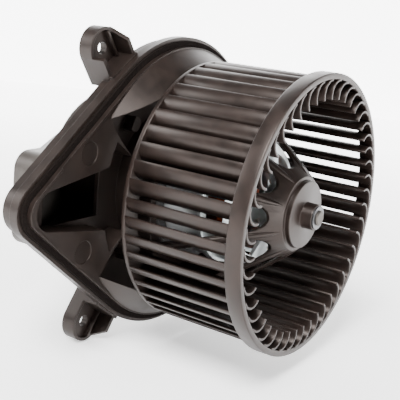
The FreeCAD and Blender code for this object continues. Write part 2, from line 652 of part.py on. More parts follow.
sleeve = ring("commutator_sleeve", "shaft_r", "comm_in_r", "comm_front", "comm_rear")
bars = new_body("commutator_bars", several=True)
turned(bars, "copper", [
    ("comm_in_r", "comm_front"),
    ("comm_r", "comm_front"),
    ("comm_r", "comm_rear"),
    ("comm_in_r", "comm_rear"),
])
slit = sunk(bars, "slit", rectangle("comm_in_r - 1", "comm_r + 1", "-comm_slit / 2", "comm_slit / 2"),
            "comm_front", "comm_rear", turn="180 / slot_count")
around(bars, "slits", [slit], "slot_count")

# The motor can with the rear bearing seat, and the front bracket with the front one.
can_in = "(can_r - can_wall)"
can = new_body("motor_can")
rear_seat = "(rear_bush_y + bush_length)"
turned(can, "shell", [
    (can_in, "-can_front"),
    ("can_lip_r", "-can_front"),
    ("can_lip_r", "-can_front + can_lip"),
    ("can_r", "-can_front + can_lip"),
    ("can_r", "can_rear"),
    ("bush_r + seat_wall", "can_rear"),
    ("bush_r + seat_wall", rear_seat + " + 1.5"),
    ("seat_hole_r", rear_seat + " + 1.5"),
    ("seat_hole_r", rear_seat),
    ("bush_r", rear_seat),
    ("bush_r", "can_rear - can_wall"),
    (can_in, "can_rear - can_wall"),
])
sunk(can, "tower_hole", rectangle(
    "-tower_wide / 2 - tower_gap", "tower_wide / 2 + tower_gap",
    "tower_z - tower_high / 2 - tower_gap", "tower_z + tower_high / 2 + tower_gap"),
    "can_rear - can_wall", "can_rear")
can_hole = sunk(can, "screw_hole", disc("motor_screw_r", "motor_pcd / 2"), "can_rear - can_wall",
                "can_rear", turn="-90")
around(can, "screw_holes", [can_hole], "3")

bracket = new_body("front_bracket")
turned(bracket, "shell", [
    (can_in, "-can_front"),
    ("can_lip_r", "-can_front"),
    ("can_lip_r", "-can_front - bracket_wall"),
    ("can_r", "-can_front - bracket_wall"),
    ("can_r", "-bracket_rim + bracket_wall * 2"),
    ("bracket_rim_r", "-bracket_rim"),
    ("dome_mid_r", "-dome_mid_y"),
    ("bush_r + seat_wall", "-dome_mid_y - 3"),
    ("bush_r + seat_wall", "-bracket_seat"),
    ("seat_hole_r", "-bracket_seat"),
    ("seat_hole_r", "-front_bush_y - bush_length"),
    ("bush_r", "-front_bush_y - bush_length"),
    ("bush_r", "-front_bush_y"),
    ("retainer_r + 0.4", "-front_bush_y"),
    ("dome_mid_r - 0.5", "-dome_mid_y + bracket_wall"),
    ("bracket_rim_r - bracket_wall / 2", "-bracket_rim + bracket_wall"),
    (can_in, "-bracket_rim + bracket_wall * 2.2"),
])
side = plate(bracket, "side_window", [
    ("-side_window / 2", "-side_window_front"),
    ("side_window / 2", "-side_window_front"),
    ("side_window / 2", "-side_window_rear"),
    ("-side_window / 2", "-side_window_rear"),
], "can_r / 2", offset="can_r", cut=True)
around(bracket, "side_windows", [side], "4")


def dome_window(sk):
    arc_band(sk, "0", "0", "dome_window_in", "dome_window_out",
             "45 - dome_window_turn / 2", "45 + dome_window_turn / 2")


dome = sunk(bracket, "dome_window", dome_window, "-dome_mid_y - 4", "-bracket_rim + bracket_wall * 2")
around(bracket, "dome_windows", [dome], "4")

front_bush = ring("front_bush", "shaft_r + bush_clear", "bush_r",
                  "-front_bush_y - bush_length", "-front_bush_y")
rear_bush = ring("rear_bush", "shaft_r + bush_clear", "bush_r", "rear_bush_y", rear_seat)
front_retainer = ring("front_retainer", "seat_hole_r", "retainer_r",
                      "-front_bush_y", "-front_bush_y + retainer_thick")
rear_retainer = ring("rear_retainer", "seat_hole_r", "retainer_r",
                     "rear_bush_y - retainer_thick", "rear_bush_y")

# The two field magnets on the can's inner wall.
for name, middle in (("magnet_upper", "90"), ("magnet_lower", "270")):
    magnet = new_body(name)
    span = ("%s - magnet_turn / 2" % middle, "%s + magnet_turn / 2" % middle)
    raised(magnet, "shoe", lambda sk: arc_band(sk, "0", "0", "core_r + air_gap", can_in, *span),
           "-magnet_front", "magnet_rear")

# The brush gear: card with its terminal tower, two brass boxes, brushes, springs and terminals.
card_rear = "(card_front + card_thick)"
card = new_body("brush_card")
turned(card, "disc", [
    ("card_hole_r", "card_front"),
    (can_in, "card_front"),
    (can_in, card_rear),
    ("card_hole_r", card_rear),
])
raised(card, "tower", rectangle("-tower_wide / 2", "tower_wide / 2", "tower_z - tower_high / 2",
                                "tower_z + tower_high / 2"), "card_front", "tower_rear")
terminal_low = "(tower_z - blade_wide / 2)"
terminal_high = "(tower_z + blade_wide / 2)"
blade_low = "(socket_z - blade_wide / 2)"
blade_high = "(socket_z + blade_wide / 2)"
for name, sign in (("left", "-1"), ("right", "1")):
    x = "%s * blade_gap / 2" % sign
    sunk(card, "slot_" + name, rectangle(x + " - blade_flat / 2", x + " + blade_flat / 2",
                                         terminal_low, terminal_high), card_rear, "tower_rear")
    terminal = new_body("terminal_" + name)
    plate(terminal, "strip", [
        (terminal_low, card_rear),
        (terminal_high, card_rear),
        (terminal_high, "link_front"),
        (blade_high, "link_front"),
        (blade_high, "blade_end"),
        (blade_low, "blade_end"),
        (blade_low, "link_rear"),
        (terminal_low, "link_rear"),
    ], "blade_flat", turn="90", offset="-1 * " + x)
    tip = "%s * (comm_r + brush_gap)" % sign
    tail = "%s * (comm_r + brush_gap + brush_long)" % sign
    mouth = "%s * holder_front_x" % sign
    end = "%s * (holder_front_x + holder_long)" % sign
    stop = "%s * (holder_front_x + holder_long - holder_wall)" % sign
    low = "brush_y - brush_depth / 2"
    high = "brush_y + brush_depth / 2"
    holder = new_body("brush_holder_" + name)
    plate(holder, "box", [
        (mouth, low + " - holder_wall"),
        (end, low + " - holder_wall"),
        (end, high + " + holder_wall"),
        (mouth, high + " + holder_wall"),
    ], "brush_width + 2 * holder_wall")
    plate(holder, "bore", [(mouth, low), (stop, low), (stop, high), (mouth, high)], "brush_width", cut=True)
    brush = new_body("brush_" + name)
    plate(brush, "block", [(tip, low), (tail, low), (tail, high), (tip, high)], "brush_width")
    spring = new_body("brush_spring_" + name)
    room = "(holder_front_x + holder_long - holder_wall - comm_r - brush_gap - brush_long)"
    near = []
    far = []
    for fold in range(5):
        along = tail + " + %s * %s * %d / 4" % (sign, room, fold)
        across = "brush_y %s spring_swing" % ("+" if fold % 2 else "-")
        near.append((along, across + " - spring_leaf / 2"))
        far.append((along, across + " + spring_leaf / 2"))
    plate(spring, "leaf", near + far[::-1], "spring_wide")

# The rubber ring between the can and the housing's cup.
cup_in = "(cup_r - cup_wall)"
damper = new_body("damper_ring")
turned(damper, "ring", [
    ("can_r", "-damper_front"),
    ("damper_lip_r", "-damper_front"),
    ("damper_lip_r", "-cup_front"),
    (cup_in, "-cup_front"),
    (cup_in, "-damper_rear"),
    ("can_r", "-damper_rear"),
])

# The housing is one moulding. Its outlines are a circle round the axis drawn out to a corner.
housing = new_body("motor_housing")


def outline(grow):
    return lambda sk: teardrop(sk, "(seal_r + %s)" % grow, "(corner_r + %s)" % grow)


rim_grow = "(groove_width + rim_wall)"
skirt_grow = "(groove_width + rim_wall - skirt_step)"
floor_rear = "(well_floor + housing_wall)"
raised(housing, "rim", outline(rim_grow), "rim_front", "rim_rear")
sunk(housing, "groove", outline("groove_width"), "rim_front", "groove_floor")
raised(housing, "seat", outline("0"), "0", "rim_rear")
raised(housing, "skirt", outline(skirt_grow), "rim_rear", "skirt_rear")
raised(housing, "lip", outline("0"), "-seat_lip_height", "0")
sunk(housing, "lip_inside", outline("(-1 * seat_lip)"), "-seat_lip_height", "0")
sunk(housing, "hollow", outline("(-1 * housing_wall)"), "housing_wall", "skirt_rear")
sunk(housing, "skirt_hollow", outline("(groove_width + rim_wall - skirt_step - housing_wall + 0.3)"),
     "rim_rear", "skirt_rear")
turned(housing, "hill", [
    ("cup_r + 2", "housing_wall"),
    ("cup_r + 2", "-hill_height"),
    ("hill_top_r", "-hill_height"),
    ("seal_r - 0.3", "0"),
    ("seal_r - 0.3", "housing_wall"),
])


def open_side(sk):
    """The region toward the corner in which the conical wall is left out."""
    t = "(face_turn * 1deg)"
    touch = ("face_r * cos(%s)" % t, "face_r * sin(%s)" % t)
    reach = "seal_r"
    far = ("face_r * cos(%s) - %s * sin(%s)" % (t, reach, t),
           "face_r * sin(%s) + %s * cos(%s)" % (t, reach, t))
    low_touch = (touch[0], "-1 * " + touch[1])
    low_far = (far[0], "-1 * (" + far[1] + ")")
    near = "-1 * (cup_r + 9)"
    polygon(sk, [touch, far, low_far, low_touch, (near, "-1 * cup_r / 2"), (near, "cup_r / 2")])


sunk(housing, "open_side", open_side, "-hill_height", "0")
raised(housing, "well_wall", disc("hill_top_r"), "0", floor_rear)
slope = "((seal_r - 0.3 - hill_top_r) / hill_height)"
turned(housing, "hill_hollow", [
    ("hill_top_r + 0.3", "housing_wall + 0.1"),
    ("hill_top_r + 0.3", "-hill_height + housing_wall / %s + 0.3 / %s" % (slope, slope)),
    ("seal_r - housing_wall - 0.3", "housing_wall * 0.3"),
    ("seal_r - housing_wall - 0.3", "housing_wall + 0.1"),
], cut=True, sweep="hollow_turn")


def duct(near, half, far, small):
    """A tapered outline from a flat mouth toward -X to a round end."""
    def draw(sk):
        nx = value(near)
        h = value(half)
        cx = value(far)
        r = value(small)
        bow = math.degrees(math.atan2(h - r, nx - cx))
        touch = V(cx - r * math.sin(math.radians(bow)), r * math.cos(math.radians(bow)), 0)
        b = math.degrees(math.atan2(touch.y, touch.x - cx))
        end = arc(sk, far, "0", small, b, 360 - b)
        up = sk.addGeometry(Part.LineSegment(V(nx, h, 0), touch), False)
        low = sk.addGeometry(Part.LineSegment(V(touch.x, -touch.y, 0), V(nx, -h, 0)), False)
        mouth = sk.addGeometry(Part.LineSegment(V(nx, -h, 0), V(nx, h, 0)), False)
        sk.addConstraint(Sketcher.Constraint("PointOnObject", end, 3, -1))
        hold(sk, "DistanceX", -1, 1, end, 3, far)
        hold(sk, "Radius", end, small)
        sk.addConstraint(Sketcher.Constraint("Tangent", up, 2, end, 1))
        sk.addConstraint(Sketcher.Constraint("Tangent", end, 2, low, 1))
        sk.addConstraint(Sketcher.Constraint("Coincident", low, 2, mouth, 1))
        sk.addConstraint(Sketcher.Constraint("Coincident", mouth, 2, up, 1))
        hold(sk, "DistanceX", -1, 1, mouth, 1, near)
        hold(sk, "DistanceY", -1, 1, mouth, 1, "-1 * (%s)" % half)
        hold(sk, "DistanceX", -1, 1, mouth, 2, near)
        hold(sk, "DistanceY", -1, 1, mouth, 2, half)
    return draw


raised(housing, "duct_box", duct("housing_wall - duct_mouth_x", "duct_mouth + housing_wall",
                                 "-1 * duct_end_x", "duct_end_r + housing_wall"), "0", floor_rear)
arm_far = "-1 * cover_arm_end"
raised(housing, "duct_plate",
       lambda sk: corner_end(sk, "-1 * cup_r", arm_far, "cover_arm", "cover_arm_corner"),
       "well_floor", floor_rear)
sunk(housing, "well", disc("well_r"), "-hill_height", "well_floor")
sunk(housing, "pocket", duct("-1 * duct_mouth_x", "duct_mouth", "-1 * duct_end_x", "duct_end_r"),
     "0", "well_floor")
sunk(housing, "floor_slot", rectangle("-1 * duct_slot_x", "-1 * duct_mouth_x", "-1 * duct_slot", "duct_slot"),
     "well_floor", floor_rear)
raised(housing, "cup", disc("cup_r"), "-cup_front", "cup_rear")
sunk(housing, "cup_bore", disc(cup_in), "-cup_front", "cup_rear - housing_wall")
sunk(housing, "cup_hole", disc("cup_hole_r"), "cup_rear - housing_wall", "cup_rear")
boss = raised(housing, "motor_boss", disc("boss_out_r", "motor_pcd / 2"), "can_rear",
              "cup_rear - housing_wall", turn="-90")
boss_hole = sunk(housing, "motor_hole", disc("motor_screw_r + 0.2", "motor_pcd / 2"), "can_rear",
                 "cup_rear", turn="-90")
around(housing, "motor_bosses", [boss, boss_hole], "3")
post = raised(housing, "cover_post", disc("boss_out_r", "boss_pcd / 2"), "well_floor - 6.5",
              "well_floor", turn="45")
post_hole = sunk(housing, "post_hole", disc("cover_screw_r", "boss_pcd / 2"), "well_floor - 4.5",
                 floor_rear, turn="45")
around(housing, "cover_posts", [post, post_hole], "4")
back_rib = plate(housing, "back_rib", [
    ("hill_top_r - 0.5", "housing_wall"),
    ("seal_r - housing_wall + 0.5", "housing_wall"),
    ("seal_r - housing_wall + 0.5", "rim_rear"),
    ("hill_top_r - 0.5", "well_floor"),
], "back_rib", turn="15")
around(housing, "back_ribs", [back_rib], "back_rib_count")


def wedge(wall):
    """The part of the well between its round edge and the plane that ends the conical wall."""
    t = "(face_turn * 1deg)"
    touch = ("(face_r + %s) * cos(%s)" % (wall, t), "(face_r + %s) * sin(%s)" % (wall, t))
    far = ("wedge_far_r * cos(wedge_far_turn * 1deg) - 1.58 * " + wall,
           "wedge_far_r * sin(wedge_far_turn * 1deg) + 0.35 * " + wall)
    near = ("well_r * cos(wedge_near_turn * 1deg) - 0.78 * " + wall,
            "well_r * sin(wedge_near_turn * 1deg) - 0.63 * " + wall)
    return lambda sk: polygon(sk, [touch, far, near, ("-1 * cup_r - 4", "cup_r / 2")])


wedge_box = raised(housing, "wedge_box", wedge("housing_wall"), "0", floor_rear)
wedge_well = sunk(housing, "wedge_well", wedge("0"), "-hill_height", "well_floor")
mirrored(housing, "wedges", [wedge_box, wedge_well])
marks = sunk(housing, "mark", disc("mark_r", "-1 * mark_x", "mark_z"), "0", "0.5")
lug_turn = "180 - atan(lug_z / lug_x) / 1deg"
lug_reach = "sqrt(lug_x ^ 2 + lug_z ^ 2)"
lug_in = "lug_r - lug_wall"
lug_start = "(seal_r - lug_root_in)"
lug_rim = "seal_r + %s" % rim_grow
lug_web_rear = "lug_face + lug_web"
lug_body = raised(housing, "lug", lambda sk: round_end(sk, lug_start, lug_reach, "lug_r"),
                  "lug_rim_front", "lug_rear", turn=lug_turn)
lug_dish = sunk(housing, "lug_dish", lambda sk: round_end(sk, lug_rim + " + 0.8", lug_reach,
                "lug_r - lug_rim_wall"), "lug_rim_front", "lug_face", turn=lug_turn)
lug_back = sunk(housing, "lug_back", lambda sk: round_end(sk, lug_rim, lug_reach, lug_in),
                lug_web_rear, "lug_rear", turn=lug_turn)
lug_hole = sunk(housing, "lug_hole", disc("lug_hole_r", lug_reach), "lug_face", lug_web_rear,
                turn=lug_turn)
tall = plate(housing, "lug_tall_wall", [
    (lug_start + " + 2", "lug_wall_front"),
    (lug_reach, "lug_wall_front"),
    (lug_reach + " + lug_r / 2", "lug_face"),
    (lug_reach + " + lug_r / 2", "lug_face + 1"),
    (lug_start + " + 2", "lug_face + 1"),
], "lug_wall", turn=lug_turn, offset="(lug_wall / 2 - lug_r)")
root_outline = rectangle(lug_start + " + 1.5", lug_rim + " + 0.8", "-1 * lug_r", "lug_r")
root = raised(housing, "lug_root", root_outline, "rim_front + 3", "lug_rear", turn=lug_turn)
mirrored(housing, "lugs", [marks, lug_body, lug_dish, lug_back, lug_hole, tall, root])
plate(housing, "lug_guard", [
    (lug_rim, "lug_guard_front"),
    (lug_reach + " + 1", "lug_guard_front"),
    (lug_reach + " + 1", "lug_face + 1"),
    (lug_rim, "lug_face + 1"),
], "lug_wall", turn=lug_turn, offset="(lug_r - lug_wall / 2)")

# The foam seal in the groove.
seal = new_body("flange_seal")
raised(seal, "band", outline("groove_width"), "seal_front", "groove_floor")
sunk(seal, "inside", outline("0"), "seal_front", "groove_floor")

# The rear cover: a drum over the cup, an arm over the duct, ears and the connector socket.
cover = new_body("rear_cover")
raised(cover, "drum", disc("cover_r"), floor_rear, "cover_rear")
raised(cover, "arm", lambda sk: corner_end(sk, "0", arm_far, "cover_arm", "cover_arm_corner"),
       floor_rear, "cover_arm_rear")
arm_top = "-1 * sqrt(cover_r ^ 2 - cover_arm ^ 2)"
plate(cover, "arm_rise", [
    ("-1 * cover_arm_bend", floor_rear),
    ("-1 * cover_arm_bend", "cover_arm_rear"),
    (arm_top, "cover_rear"),
    (arm_top + " + 7", "cover_rear"),
    (arm_top + " + 7", floor_rear),
], "2 * cover_arm")
sunk(cover, "drum_inside", disc("cover_r - cover_wall"), floor_rear, "cover_rear - cover_wall")
sunk(cover, "arm_inside",
     lambda sk: corner_end(sk, "0", arm_far + " + cover_wall", "(cover_arm - cover_wall)",
                           "(cover_arm_corner - cover_wall)"),
     floor_rear, "cover_arm_rear - cover_wall")
plate(cover, "arm_rise_inside", [
    ("-1 * cover_arm_bend", floor_rear),
    ("-1 * cover_arm_bend", "cover_arm_rear - cover_wall * 1.19"),
    (arm_top, "cover_rear - cover_wall * 1.19"),
    (arm_top + " + 4", "cover_rear - cover_wall * 1.19"),
    (arm_top + " + 4", floor_rear),
], "2 * (cover_arm - cover_wall)", cut=True)
ear = raised(cover, "ear", disc("ear_r", "boss_pcd / 2"), floor_rear, floor_rear + " + ear_thick", turn="45")
web = raised(cover, "ear_web", rectangle("cover_r - cover_wall / 2", "boss_pcd / 2", "-1 * ear_r", "ear_r"),
             floor_rear, floor_rear + " + ear_thick", turn="45")
ear_hole = sunk(cover, "ear_hole", disc("cover_screw_r + 0.3", "boss_pcd / 2"), floor_rear,
                floor_rear + " + ear_thick", turn="45")
around(cover, "ears", [ear, web, ear_hole], "4")
raised(cover, "socket", rectangle("-1 * socket_wide / 2", "socket_wide / 2", "socket_z - socket_high / 2",
                                  "socket_z + socket_high / 2"), "cover_rear - cover_wall", "socket_rear")
sunk(cover, "socket_inside", rectangle(
    "socket_wall - socket_wide / 2", "socket_wide / 2 - socket_wall",
    "socket_z - socket_high / 2 + socket_wall", "socket_z + socket_high / 2 - socket_wall"),
    "cover_rear", "socket_rear")
for name, sign in (("left", "-1"), ("right", "1")):
    x = "%s * blade_gap / 2" % sign
    room = "(blade_flat / 2 + blade_room)"
    hole = rectangle(x + " - " + room, x + " + " + room,
                     blade_low + " - blade_room", blade_high + " + blade_room")
    sunk(cover, "slot_" + name, hole, "cover_rear - cover_wall", "cover_rear")


def screws(label, pcd, shank, count, turn, head_front, tip):
    """A ring of equal screws with cross recesses, their heads toward the rear."""
    body = new_body(label, several=True)
    stem = raised(body, "shank", disc(shank, pcd + " / 2"), tip, head_front, turn=turn)
    head_rear = "%s + head_height" % head_front
    head = raised(body, "head", disc("head_r", pcd + " / 2"), head_front, head_rear, turn=turn)
    recess_front = "%s + head_height * 0.45" % head_front
    cuts = []
    for n, (a, b) in enumerate((("head_r * 0.55", "0.5"), ("0.5", "head_r * 0.55"))):
        box = rectangle("%s / 2 - %s" % (pcd, a), "%s / 2 + %s" % (pcd, a), "-" + b, b)
        cuts.append(sunk(body, "recess_%d" % n, box, recess_front, head_rear, turn=turn))
    around(body, "set", [stem, head] + cuts, count)


screws("cover_screws", "boss_pcd", "cover_screw_r", "4", "45", "(%s + ear_thick)" % floor_rear,
       "well_floor - 4")
screws("motor_screws", "motor_pcd", "motor_screw_r", "3", "-90", "cup_rear", "can_rear - can_wall - 1.4")

doc.recompute()
bad = []
for item in doc.Objects:
    if "Invalid" in item.State or "Error" in item.State:
        bad.append(item.Name)
parts = [item for item in doc.Objects if item.isDerivedFrom("PartDesign::Body")]
for part in parts:
    if part.Shape.isNull() or not part.Shape.isValid():
        bad.append(part.Name)
if bad:
    raise RuntimeError("not built: " + ", ".join(bad))
os.makedirs("parts", exist_ok=True)
for part in parts:
    part.Shape.exportStep("parts/" + part.Label + ".step")
    print(part.Label, len(part.Shape.Solids), round(part.Shape.Volume, 1))
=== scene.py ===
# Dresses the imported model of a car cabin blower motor: a squirrel-cage wheel with smooth moulded
# blades, a moulded flange, a foam seal, and a plated motor with copper coils.
# Metres. The motor's axis is Y, the wheel's open inlet faces -Y, +Z is up.
import math

import bmesh
import bpy
from mathutils import Matrix, Vector


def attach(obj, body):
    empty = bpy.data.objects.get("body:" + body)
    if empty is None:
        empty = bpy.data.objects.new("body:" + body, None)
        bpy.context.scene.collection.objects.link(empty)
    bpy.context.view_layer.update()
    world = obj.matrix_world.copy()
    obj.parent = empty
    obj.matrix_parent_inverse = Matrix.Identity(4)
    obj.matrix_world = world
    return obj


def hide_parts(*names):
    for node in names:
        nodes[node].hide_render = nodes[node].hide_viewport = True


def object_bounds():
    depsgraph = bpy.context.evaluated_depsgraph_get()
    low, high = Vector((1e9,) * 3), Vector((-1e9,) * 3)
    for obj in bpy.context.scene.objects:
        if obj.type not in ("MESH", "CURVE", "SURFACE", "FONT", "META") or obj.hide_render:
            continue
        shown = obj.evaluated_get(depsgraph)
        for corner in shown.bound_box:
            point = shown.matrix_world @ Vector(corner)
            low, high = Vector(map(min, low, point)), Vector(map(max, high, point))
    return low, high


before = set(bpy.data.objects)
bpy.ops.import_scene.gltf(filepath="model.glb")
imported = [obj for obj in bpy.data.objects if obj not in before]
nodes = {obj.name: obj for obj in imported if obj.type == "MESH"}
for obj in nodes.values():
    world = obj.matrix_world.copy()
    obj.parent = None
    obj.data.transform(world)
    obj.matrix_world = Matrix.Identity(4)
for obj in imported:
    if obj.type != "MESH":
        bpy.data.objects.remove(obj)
cad_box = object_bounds()
MM = 0.001
WELD = 1e-6
ORIGIN = (0, 0, 0)
AXIS = (0, 1, 0)


def mm(x, y, z):
    """A place in millimetres, as a vector in metres."""
    return Vector((x * MM, y * MM, z * MM))


def srgb(code):
    """Linear colour of an sRGB hex value such as 5A524E."""
    parts = [int(code[i:i + 2], 16) / 255 for i in (0, 2, 4)]
    lin = [c / 12.92 if c <= 0.04045 else ((c + 0.055) / 1.055) ** 2.4 for c in parts]
    return (*lin, 1)


def darker(code, share):
    """The same colour with only a share of its light."""
    red, green, blue, alpha = srgb(code)
    return (red * share, green * share, blue * share, alpha)


def add(tree, kind, links=None, **settings):
    """Adds one node, sets its settings, and sets or links its inputs."""
    n = tree.nodes.new("ShaderNode" + kind)
    for key, val in settings.items():
        setattr(n, key, val)
    for key, val in (links or {}).items():
        if isinstance(val, bpy.types.NodeSocket):
            tree.links.new(val, n.inputs[key])
        else:
            n.inputs[key].default_value = val
    return n


def start_material(name):
    """A new material with its tree, its shader and the object's own coordinates."""
    mat = bpy.data.materials.new(name)
    mat.use_nodes = True
    tree = mat.node_tree
    shader = tree.nodes["Principled BSDF"]
    place = add(tree, "TexCoord").outputs["Object"]
    return mat, tree, shader, place


def set_values(shader, values):
    """Sets the shader's plain inputs."""
    for key, val in values.items():
        shader.inputs[key].default_value = val


def per_mm(size):
    """A pattern's scale, from the real size of its features in millimetres."""
    return 1 / (size * MM)


def noise(tree, place, size_mm, detail, **links):
    """Cloudy noise with features of a real size."""
    settings = {"Vector": place, "Scale": per_mm(size_mm), "Detail": detail, **links}
    return add(tree, "TexNoise", settings).outputs["Fac"]


def colour_by(tree, shader, pattern, dark, light, start=0.0, end=1.0):
    """The shader's colour goes from dark to light as the pattern goes from start to end."""
    tone = add(tree, "ValToRGB", {"Fac": pattern})
    for stop, position, colour in zip(tone.color_ramp.elements, (start, end), (dark, light)):
        stop.position = position
        stop.color = colour
    tree.links.new(tone.outputs["Color"], shader.inputs["Base Color"])


def gloss_by(tree, shader, pattern, start, end, smooth, rough):
    """The shader's roughness goes from smooth to rough as the pattern goes from start to end."""
    gloss = add(tree, "MapRange", {"Value": pattern, "From Min": start, "From Max": end,
                                   "To Min": smooth, "To Max": rough})
    tree.links.new(gloss.outputs["Result"], shader.inputs["Roughness"])


def relief(tree, shader, pattern, depth_mm, strength, **links):
    """The surface rises and falls with the pattern, by a real depth."""
    settings = {"Height": pattern, "Distance": depth_mm * MM, "Strength": strength, **links}
    bump = add(tree, "Bump", settings)
    tree.links.new(bump.outputs["Normal"], shader.inputs["Normal"])


def moulded_plastic(name, dark, light, rough, grain_mm, grain_depth_mm):
    """Injection-moulded polypropylene: a fine spark-eroded grain breaks the gloss into a soft
    sheen, and slow flow marks shift the tone and the gloss over a centimetre or two.
    The mould's rounded corners catch a thin line of light along every edge."""
    mat, tree, shader, place = start_material(name)
    flow = noise(tree, place, size_mm=10, detail=5.0, Roughness=0.6)
    colour_by(tree, shader, flow, srgb(dark), srgb(light), start=0.35, end=0.68)
    gloss_by(tree, shader, flow, start=0.3, end=0.7, smooth=rough - 0.05, rough=rough + 0.06)
    grain = noise(tree, place, grain_mm, detail=2.0)
    corner = add(tree, "Bevel", {"Radius": 0.5 * MM}, samples=4)
    relief(tree, shader, grain, grain_depth_mm, strength=0.6, Normal=corner.outputs["Normal"])
    set_values(shader, {"IOR": 1.49, "Specular IOR Level": 0.34, "Specular Tint": srgb("FFF1EA")})
    return mat


def worked_steel(name, colour, rough, squeeze):
    """Drawn, pressed or ground steel: faint lines in the surface follow the way it was worked,
    and a cloudy film makes its reflections patchy."""
    mat, tree, shader, place = start_material(name)
    squeezed = add(tree, "Mapping", {"Vector": place, "Scale": squeeze}).outputs["Vector"]
    lines = noise(tree, squeezed, size_mm=0.7, detail=3.0)
    cloud = noise(tree, place, size_mm=9, detail=4.0)
    gloss_by(tree, shader, cloud, start=0.0, end=1.0, smooth=rough - 0.06, rough=rough + 0.12)
    relief(tree, shader, lines, depth_mm=0.02, strength=0.5)
    colour_by(tree, shader, cloud, darker(colour, 0.72), srgb(colour))
    set_values(shader, {"Metallic": 1.0})
    return mat


def foam_strip(name, dark, light):
    """Closed-cell foam: a dull black skin with open pores of about half a millimetre, which keeps
    the groove dark between the glossier plastic edges."""
    mat, tree, shader, place = start_material(name)
    pores = add(tree, "TexVoronoi", {"Vector": place, "Scale": per_mm(0.9)}).outputs["Distance"]
    colour_by(tree, shader, pores, srgb(dark), srgb(light))
    relief(tree, shader, pores, depth_mm=0.25, strength=0.8)
    set_values(shader, {"Roughness": 1.0, "Specular IOR Level": 0.05})
    return mat


def plain_piece(name, colour, rough, metal, patch, bump):
    """Small inner pieces: one finish with mottled tone and a fine uneven skin. The size of its
    patches and the depth of its bumps are in millimetres."""
    mat, tree, shader, place = start_material(name)
    mottle = noise(tree, place, patch, detail=4.0)
    colour_by(tree, shader, mottle, darker(colour, 0.7), srgb(colour), start=0.3, end=0.7)
    relief(tree, shader, mottle, bump, strength=0.5)
    set_values(shader, {"Roughness": rough, "Metallic": metal})
    return mat


# Polypropylene with talc, almost black with a warm sheen. The wheel is moulded smoother than the
# housing; the cover behind them is painted a lighter grey, a painted reflection of pale rim light.
wheel_plastic = moulded_plastic("wheel polypropylene, moulded satin", "130E0C", "1D1512", rough=0.37,
                                grain_mm=0.5, grain_depth_mm=0.008)
housing_plastic = moulded_plastic("housing polypropylene, moulded grain", "120D0B", "1B1411", rough=0.41,
                                  grain_mm=0.6, grain_depth_mm=0.012)
# The cover's lighter colours are a painted reflection of the pale light on its rear faces, not a greyer
# plastic.
cover_plastic_painted_lighter = moulded_plastic("cover polypropylene, moulded grain", "2E2B29", "3A3733", rough=0.42,
                                grain_mm=0.6, grain_depth_mm=0.015)

# Dull black soft pieces.
seal_foam = foam_strip("seal foam, die cut", "0C0908", "15100E")
damper_rubber = plain_piece("damper rubber, moulded", "232120", rough=0.62, metal=0.0, patch=3, bump=0.03)

# Steel. The bright can and bracket flash between the blades and in the cone's windows, and the
# shaft, the core and the springs are darker. Fine lines run round the can, the bracket and the
# shaft, and up and down the core.
can_zinc = worked_steel("can steel, drawn and zinc plated", "E2E5E6", rough=0.34, squeeze=(1, 12, 1))
bracket_zinc = worked_steel("bracket steel, pressed and zinc plated", "EEF3F3", rough=0.46,
                            squeeze=(1, 12, 1))
shaft_steel = worked_steel("shaft steel, ground", "57534F", rough=0.52, squeeze=(1, 20, 1))
core_steel = worked_steel("core laminations, punched", "6F7072", rough=0.45, squeeze=(1, 1, 0.02))
screw_zinc = plain_piece("screw steel, zinc plated", "B7B6AE", rough=0.35, metal=1.0, patch=1.5, bump=0.01)
spring_steel = plain_piece("spring steel, tempered", "5E5E60", rough=0.38, metal=1.0, patch=1.5, bump=0.01)

# Warm metals. The coils show red-brown behind the bracket.
copper_wire = plain_piece("coil copper, enamelled", "A9502E", rough=0.30, metal=1.0, patch=1.2, bump=0.02)
copper_bar = plain_piece("commutator copper, turned", "C27F54", rough=0.28, metal=1.0, patch=2.0, bump=0.01)
brass_sheet = plain_piece("terminal brass, stamped", "C9A65A", rough=0.30, metal=1.0, patch=3.0, bump=0.01)
bush_bronze = plain_piece("bush bronze, sintered", "8A6136", rough=0.50, metal=1.0, patch=0.5, bump=0.03)

# Dull pieces inside the can: grey magnets and brushes, a brown card.
ferrite = plain_piece("magnet ferrite, sintered", "3A3A3D", rough=0.60, metal=0.2, patch=1.0, bump=0.02)
card_board = plain_piece("card phenolic, moulded", "5A2C1A", rough=0.45, metal=0.0, patch=4.0, bump=0.01)
carbon = plain_piece("brush carbon, pressed", "262626", rough=0.55, metal=0.1, patch=0.6, bump=0.02)

FINISH = {
    "motor_housing": housing_plastic, "rear_cover": cover_plastic_painted_lighter, "flange_seal": seal_foam,
    "damper_ring": damper_rubber, "motor_can": can_zinc, "front_bracket": bracket_zinc,
    "magnet_upper": ferrite, "magnet_lower": ferrite, "front_bush": bush_bronze,
    "rear_bush": bush_bronze, "front_retainer": spring_steel, "rear_retainer": spring_steel,
    "brush_card": card_board, "brush_holder_left": brass_sheet, "brush_holder_right": brass_sheet,
    "brush_left": carbon, "brush_right": carbon, "brush_spring_left": spring_steel,
    "brush_spring_right": spring_steel, "terminal_left": brass_sheet, "terminal_right": brass_sheet,
    "cover_screws": screw_zinc, "motor_screws": screw_zinc, "impeller_wheel": wheel_plastic,
    "shaft": shaft_steel, "laminated_core": core_steel, "windings": copper_wire,
    "commutator_bars": copper_bar, "commutator_sleeve": card_board, "shaft_clip": spring_steel,
    "thrust_washers": card_board,
}
for node, finish in FINISH.items():
    mesh = nodes[node].data
    mesh.materials.clear()
    mesh.materials.append(finish)


def link_mesh(bm, name):
    """Turns a bmesh into an object of the scene."""
    mesh = bpy.data.meshes.new(name)
    bm.to_mesh(mesh)
    bm.free()
    piece = bpy.data.objects.new(name, mesh)
    bpy.context.scene.collection.objects.link(piece)
    return piece


